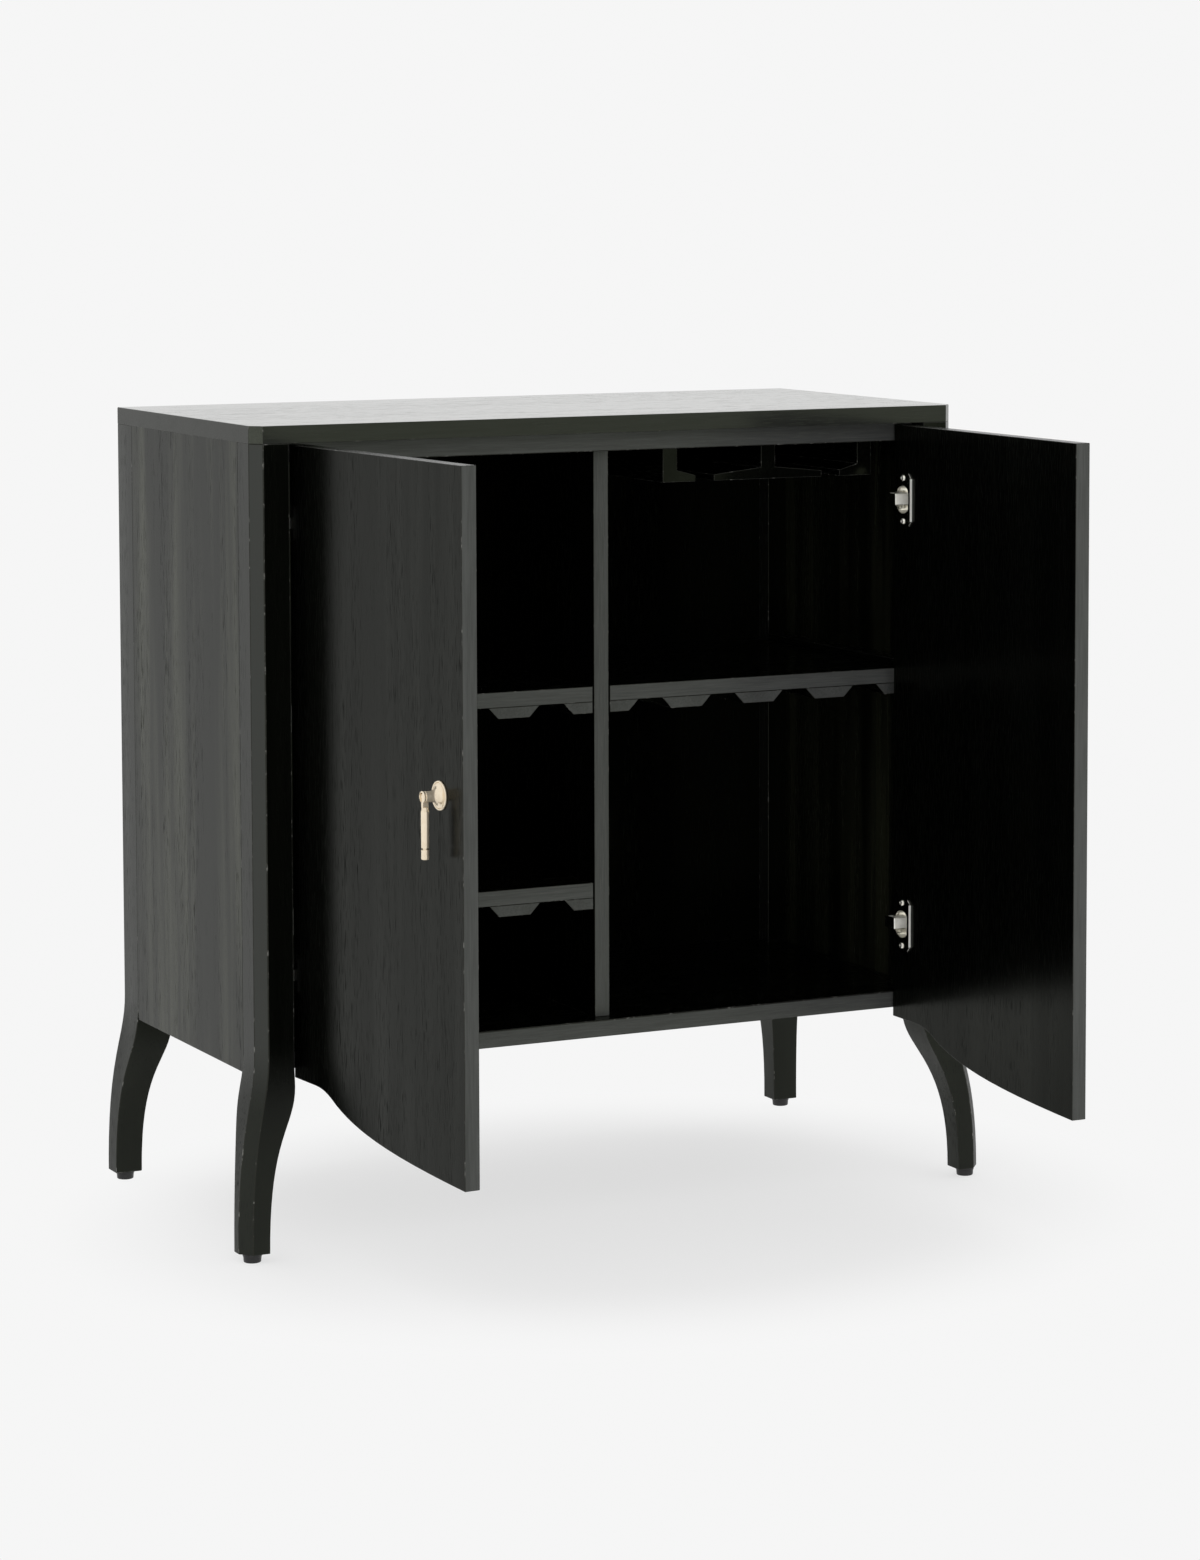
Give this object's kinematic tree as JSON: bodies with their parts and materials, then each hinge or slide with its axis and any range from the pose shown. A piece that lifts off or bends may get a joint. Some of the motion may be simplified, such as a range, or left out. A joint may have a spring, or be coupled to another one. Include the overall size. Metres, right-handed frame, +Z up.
{
  "type": "bar cabinet",
  "caption": "Free-standing bar cabinet with inset double doors, a divided interior, grooved bottle shelves, a hanging stemware rack and flared corner legs.",
  "frame": {"origin": "on the floor, under the middle of the box round the cabinet with its doors open as stored", "axes": "+X to the right of someone facing the doors, +Y from the doors to the back, +Z up"},
  "size_m": [0.964, 0.8392, 0.94],
  "materials": {
    "ebonised_wood": "black open-pore satin lacquer",
    "bright_nickel": "bright nickel plate",
    "pale_brass": "satin",
    "glide_nylon": "matt black"
  },
  "bodies": {
    "case": {"top_panel": "ebonised_wood", "left_side_panel": "ebonised_wood", "right_side_panel": "ebonised_wood", "back_panel": "ebonised_wood", "floor_panel": "ebonised_wood", "left_floor_cleat": "ebonised_wood", "right_floor_cleat": "ebonised_wood", "front_top_rail": "ebonised_wood", "front_left_leg": "ebonised_wood", "rear_left_leg": "ebonised_wood", "foot_glides": "glide_nylon", "right_shelf": "ebonised_wood", "right_shelf_battens": "ebonised_wood", "right_shelf_rail": "ebonised_wood", "left_upper_shelf": "ebonised_wood", "left_upper_shelf_battens": "ebonised_wood", "left_upper_shelf_rail": "ebonised_wood", "left_lower_shelf": "ebonised_wood", "left_lower_shelf_battens": "ebonised_wood", "left_lower_shelf_rail": "ebonised_wood", "divider_panel": "ebonised_wood", "shelf_pins": "bright_nickel", "left_stem_rail": "ebonised_wood", "middle_stem_rail": "ebonised_wood", "right_stem_rail": "ebonised_wood", "left_hinge_arms": "bright_nickel", "right_hinge_arms": "bright_nickel", "left_hinge_plates": "bright_nickel", "right_hinge_plates": "bright_nickel", "case_hinge_screws": "bright_nickel", "front_right_leg": "ebonised_wood", "rear_right_leg": "ebonised_wood"},
    "left_door": {"left_door": "ebonised_wood", "left_hinge_cups": "bright_nickel", "left_hinge_pins": "bright_nickel", "left_door_hinge_screws": "bright_nickel", "left_pull_rosette": "pale_brass", "left_pull_knob": "pale_brass", "left_pull_pin": "pale_brass"},
    "right_door": {"right_door": "ebonised_wood", "right_hinge_cups": "bright_nickel", "right_hinge_pins": "bright_nickel", "right_door_hinge_screws": "bright_nickel", "right_pull_rosette": "pale_brass", "right_pull_knob": "pale_brass", "right_pull_pin": "pale_brass"},
    "left_pull": {"left_pull_pendant": "pale_brass"},
    "right_pull": {"right_pull_pendant": "pale_brass"}
  },
  "joints": [
    {"name": "left_door_hinge", "type": "hinge", "parent": "case", "child": "left_door", "pos_m": [-0.3925, -0.0286, 0.5714], "axis": [0, 0, -1], "range_deg": [-86, 19]},
    {"name": "right_door_hinge", "type": "hinge", "parent": "case", "child": "right_door", "pos_m": [0.3925, -0.0286, 0.5714], "axis": [0, 0, 1], "range_deg": [-90, 15]},
    {"name": "left_pull_swing", "type": "hinge", "parent": "left_door", "child": "left_pull", "pos_m": [-0.39352, -0.3695, 0.565], "axis": [-0.0698, 0.9976, 0], "range_deg": [-9, 85]},
    {"name": "right_pull_swing", "type": "hinge", "parent": "right_door", "child": "right_pull", "pos_m": [0.4173, -0.3686, 0.565], "axis": [0, -1, 0], "range_deg": [-9, 85]}
  ]
}
